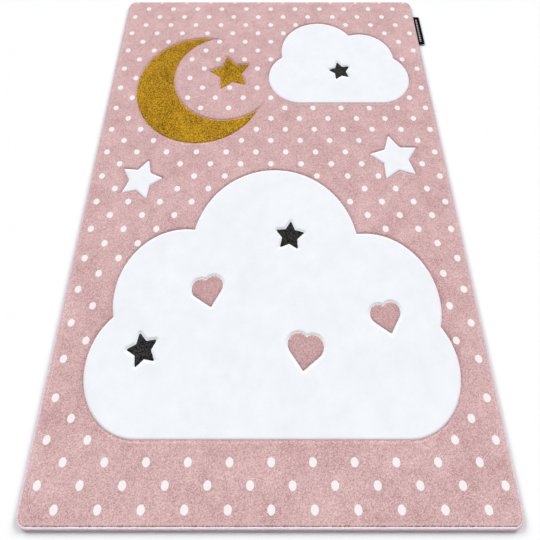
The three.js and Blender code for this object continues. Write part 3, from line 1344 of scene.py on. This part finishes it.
@dataclass
class Binding:
    """The overcast edge: yarn wound side by side round the cloth's edge, all the way round the rug."""

    sizes: RugSizes
    pitch: float = 3.6 * MM
    samples: int = 4
    ridge: float = 1.3 * MM
    uneven: float = 0.18 * MM
    stray: float = 0.06
    slant: float = 2.2 * MM
    outer_round: float = 4.6 * MM
    inner_round: float = 2.4 * MM
    heel_round: float = 2.2 * MM
    heel_share: float = 0.4
    wall: float = 3.2 * MM
    slot_low: float = 1.3 * MM
    slot_high: float = 4.9 * MM
    lowest: float = 0.4 * MM
    side_tone: float = 0.33
    near_end_painted_light: float = 0.6
    stray_tone: float = 0.25
    around_step: float = 2.2 * MM
    map_rows: int = 14
    row_margin: float = 0.04

    def section(self) -> tuple[Array, Array, Array]:
        """The binding's section: a C that opens towards the cloth.

        Returns:
            Each point's inset and height, the direction in which a strand bulges there, and how much of the
            strand's roundness it has, which is none inside the slot.
        """
        width, height = self.sizes.binding_width, self.sizes.binding_height
        heel, outer, inner = self.heel_round, self.outer_round, self.inner_round
        outside = np.concatenate(
            [
                arc((heel, heel), heel, 270, 180, 3),
                arc((outer, height - outer), outer, 180, 90, 4),
                arc((width - inner, height - inner), inner, 90, 0, 3),
            ]
        )
        slot = [
            [width, self.slot_high],
            [self.wall, self.slot_high],
            [self.wall, self.slot_low],
            [width, self.slot_low],
            [width, self.lowest],
        ]
        points = np.concatenate([outside, slot])
        tangent = np.roll(points, -1, axis=0) - np.roll(points, 1, axis=0)
        bulge = np.stack([-tangent[:, 1], tangent[:, 0]], axis=-1)
        bulge /= np.linalg.norm(bulge, axis=1)[:, None]
        rounded = np.repeat([1.0, 0.0], [len(outside), len(slot)])
        rounded[0] = self.heel_share
        return points, bulge, rounded

    def build(self) -> bpy.types.Object:
        """Carries the section round the rug's outline.

        Each strand is one pitch wide. Across a strand the surface stands out by the height of a half circle
        over its width. The strands slant, because each point of the section is carried on by a share of the
        slant. The yarn is painted lightest along the near end, as painted light.

        Returns:
            The piece.
        """
        section, bulge, rounded = self.section()
        count = len(section)
        length = self.sizes.outer.length()
        strands = round(length / self.pitch)
        columns = strands * self.samples
        draw = np.random.default_rng(Seed.STRANDS)
        strand, sample = np.divmod(np.arange(columns), self.samples)
        own = draw.random(strands)[strand]
        stray = draw.normal(0, self.stray, strands)[strand] * self.pitch
        along = np.arange(columns) / self.samples * (length / strands) + stray
        carried = np.linspace(0, self.slant, count) * (rounded > 0)
        place, away = self.sizes.outer.walk(along[:, None] + carried)
        round_height = np.sqrt(1 - (2 * sample / self.samples - 1) ** 2)
        sunk = (1 - round_height) * self.ridge + own * self.uneven
        offset = rounded * sunk[:, None]
        inset = section[:, 0] - bulge[:, 0] * offset
        height = np.maximum(section[:, 1] - bulge[:, 1] * offset, 0)
        flat = place - away * inset[..., None]
        points = np.concatenate([flat, height[..., None]], axis=-1).reshape(-1, 3)
        quads = rows_of_quads(columns, count, closed_rows=True, closed_columns=True)
        piece = mesh_piece("edge_binding_yarn", points, quads)
        # Painted light: the binding's tone rises along the near end.
        at_near_end = np.maximum(-away[:, 0, 1], 0)
        tone = self.side_tone + self.near_end_painted_light * at_near_end + self.stray_tone * (own - 0.5)
        set_attribute(piece, "thread", np.repeat(tone, count))
        self.map_strip(piece, columns, count)
        return install(piece, BINDING_FINISH.material(), "edge_binding")

    def map_strip(self, piece: bpy.types.Object, columns: int, count: int) -> None:
        """Lays the strip of strands out flat, once in metres and once in rows that fill a square.

        Args:
            piece: The binding.
            columns: How many sections it has.
            count: How many points a section has.
        """
        column, point = (number[:, None] for number in np.divmod(np.arange(columns * count), count))
        along, around = column + np.array([0, 1, 1, 0]), point + np.array([0, 0, 1, 1])
        metres = np.stack([around * self.around_step, along * (self.pitch / self.samples)], axis=-1)
        set_map(piece, YARN_MAP, metres)
        in_row = math.ceil(columns / self.map_rows)
        row = column // in_row
        u = inside_map(along / in_row - row)
        v = (row + self.row_margin + (1 - 2 * self.row_margin) * around / count) / self.map_rows
        set_map(piece, BAKE_MAP, np.stack([u, v], axis=-1))


@dataclass
class Label:
    """The folded ribbon label at the rug's long edge, woven with a plain row of small diamonds."""

    sizes: RugSizes
    ribbon: float = 0.55 * MM
    gap: float = 0.35 * MM
    root_height: float = 5.0 * MM
    root_depth: float = 2.0 * MM
    fold_height: float = 3.6 * MM
    reach_steps: int = 30
    fold_steps: int = 9
    step: float = 0.8 * MM
    curl: float = 0.35 * MM
    curl_wave: float = 60.0 * MM
    diamond_pitch: float = 9.5 * MM
    diamond_size: float = 4.4 * MM
    diamonds_at: float = 0.42
    margin: float = 13.0 * MM
    tone: float = 0.4

    def middle_line(self) -> tuple[Array, Array]:
        """The ribbon's middle line, from its lower root out to the fold and back to its upper root.

        Both layers leave the binding level and droop a little by a smooth step, as stiff ribbon does. The
        fold is a half circle.

        Returns:
            The line's points as reach and height, and its direction to the outer side at each point.
        """
        bend = (self.ribbon + self.gap) / 2
        free = self.sizes.label_high[0] - self.sizes.outer.half_width - self.ribbon - self.gap / 2
        share = np.linspace(0, 1, self.reach_steps)
        droop = self.root_height + (self.fold_height - self.root_height) * share**2 * (3 - 2 * share)
        reach = np.concatenate([[-self.root_depth], free * share])
        droop = np.concatenate([[self.root_height], droop])
        lower, upper = (np.stack([reach, droop + side], axis=-1) for side in (-bend, bend))
        fold = arc((free, self.fold_height), bend, -90, 90, self.fold_steps)[1:-1]
        line = np.concatenate([lower, fold, upper[::-1]])
        tangent = np.gradient(line, axis=0)
        away = np.stack([tangent[:, 1], -tangent[:, 0]], axis=-1)
        return line, away / np.linalg.norm(away, axis=1)[:, None]

    def build(self) -> bpy.types.Object:
        """Gives the middle line its thickness and carries it along the rug's edge.

        Returns:
            The piece, closed at both ends by faces between its two sides.
        """
        line, away = self.middle_line()
        ring = np.concatenate([line + away * self.ribbon / 2, (line - away * self.ribbon / 2)[::-1]])
        count = len(ring)
        low, high = self.sizes.label_low[1], self.sizes.label_high[1]
        rows = round((high - low) / self.step) + 1
        y = np.linspace(low, high, rows)
        half_width = self.sizes.outer.half_width
        curl = self.curl * np.abs(np.clip(ripple(y, y * 0, self.curl_wave, Seed.CURL), -1, 1))
        lift = np.clip(ring[:, 0] / (self.sizes.label_high[0] - half_width), 0, 1) ** 2
        z = np.maximum(ring[:, 1] + curl[:, None] * lift, 0)
        x, y = np.broadcast_arrays(half_width + ring[None, :, 0], y[:, None])
        points = np.stack([x, y, z], axis=-1).reshape(-1, 3)
        quads = rows_of_quads(rows, count, closed_columns=True)[:, ::-1]
        pairs = np.arange(len(line) - 1)
        end = np.stack([pairs, pairs + 1, count - 2 - pairs, count - 1 - pairs], axis=-1)
        faces = np.concatenate([quads, end[:, ::-1], end + (rows - 1) * count])
        piece = mesh_piece("edge_label_ribbon", points, faces)
        set_attribute(piece, "thread", np.full(len(points), self.tone))
        set_attribute(piece, "figure", self.figure(points))
        set_map_from_above(piece, points)
        return install(piece, RIBBON_FINISH.material(), "edge_label")

    def figure(self, points: Array) -> Array:
        """How much of the lighter thread shows at each point: a row of small diamonds along the middle.

        Args:
            points: The label's points.

        Returns:
            1 inside a diamond and 0 outside.
        """
        edge, low, high = self.sizes.outer.half_width, self.sizes.label_low[1], self.sizes.label_high[1]
        middle = edge + (self.sizes.label_high[0] - edge) * self.diamonds_at
        along = np.mod(points[:, 1] - low, self.diamond_pitch) - self.diamond_pitch / 2
        near = np.abs(along) + np.abs(points[:, 0] - middle) < self.diamond_size
        inside = (points[:, 1] > low + self.margin) & (points[:, 1] < high - self.margin)
        return (near & inside).astype(float)


@dataclass(frozen=True)
class Lamp:
    """A distant soft lamp, with its turn from straight beyond the far end, in degrees."""

    name: str
    turn: float
    elevation: float
    share: float
    spread: float = 28.0
    distance: float = 3.0

    def build(self) -> None:
        """Adds the lamp, strong enough to give a level white surface its share of full light."""
        lamp = bpy.data.lights.new(self.name, "SUN")
        lamp.energy = math.pi * self.share / math.sin(math.radians(self.elevation))
        lamp.angle = math.radians(self.spread)
        holder = bpy.data.objects.new(self.name, lamp)
        turn, away = math.radians(self.turn), self.distance
        holder.rotation_euler = (-math.radians(90 - self.elevation), 0, turn)
        holder.location = (-away * math.sin(turn), away * math.cos(turn), away)
        bpy.context.scene.collection.objects.link(holder)


@dataclass
class Studio:
    """A white floor, soft light mostly from beyond the far end, and the camera of the photograph."""

    pitch: float = 61.995
    lens: float = 27.065
    shift: float = -0.2432
    height: float = 1.2602
    foot: float = -0.4875
    sensor: float = 36.0
    sight: tuple[float, float] = (0.05, 60.0)
    floor_size: float = 40.0
    floor_colour: Colour = (0.93, 0.93, 0.935, 1.0)
    sky_colour: Colour = (0.89, 0.9, 1.0, 1.0)
    sky_share: float = 0.17
    lamps: tuple[Lamp, ...] = (
        Lamp("softbox_left", turn=45.0, elevation=27.5, share=0.435),
        Lamp("softbox_right", turn=-45.0, elevation=27.5, share=0.435),
        Lamp("fill_in_front", turn=180.0, elevation=14.0, share=0.05),
    )

    def build(self, pile_top: float) -> None:
        """Builds the floor, the light and the camera.

        Args:
            pile_top: The height of the pile, which the camera's height is measured from.
        """
        self.floor()
        for lamp in self.lamps:
            lamp.build()
        self.sky()
        self.camera(pile_top)

    def floor(self) -> None:
        """Lays a plain white floor."""
        half = self.floor_size / 2
        corners = np.array([[-half, -half, 0], [half, -half, 0], [half, half, 0], [-half, half, 0]])
        piece = mesh_piece("studio_floor", corners, np.array([[0, 1, 2, 3]]))
        white = cloth_shader(
            "studio_white", Base_Color=self.floor_colour, Roughness=0.95, Specular_IOR_Level=0.0
        )
        piece.data.materials.append(white[0])

    def sky(self) -> None:
        """Adds an even sky, white with a breath of blue."""
        world = bpy.data.worlds.new("white_room")
        world.use_nodes = True
        backdrop = world.node_tree.nodes["Background"]
        backdrop.inputs["Color"].default_value = self.sky_colour
        backdrop.inputs["Strength"].default_value = self.sky_share
        bpy.context.scene.world = world

    def camera(self, pile_top: float) -> None:
        """Places the camera over the near half of the rug, tilted towards the far end."""
        lens = bpy.data.cameras.new("camera")
        lens.lens = self.lens
        lens.sensor_width = self.sensor
        lens.shift_y = self.shift
        lens.clip_start, lens.clip_end = self.sight
        eye = bpy.data.objects.new("camera", lens)
        eye.location = (0, self.foot, self.height + pile_top)
        eye.rotation_euler = (math.radians(90 - self.pitch), 0, 0)
        bpy.context.scene.collection.objects.link(eye)
        bpy.context.scene.camera = eye


def main() -> None:
    """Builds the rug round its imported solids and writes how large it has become."""
    logging.basicConfig(level=logging.INFO, format="%(name)s: %(message)s")
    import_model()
    bpy.context.scene.view_settings.view_transform = "Standard"
    tuft_group()
    twist_group()
    sizes = RugSizes.from_frame()
    Studio().build(sizes.pile_top)
    pile = Pile(sizes, Artwork(sizes.outer.half_length)).build()
    woven = WovenBack(sizes)
    back = woven.build()
    binding = Binding(sizes).build()
    label = Label(sizes).build()
    cloth = sizes.outer.inset(woven.edge_inset)


if __name__ == "__main__":
    main()
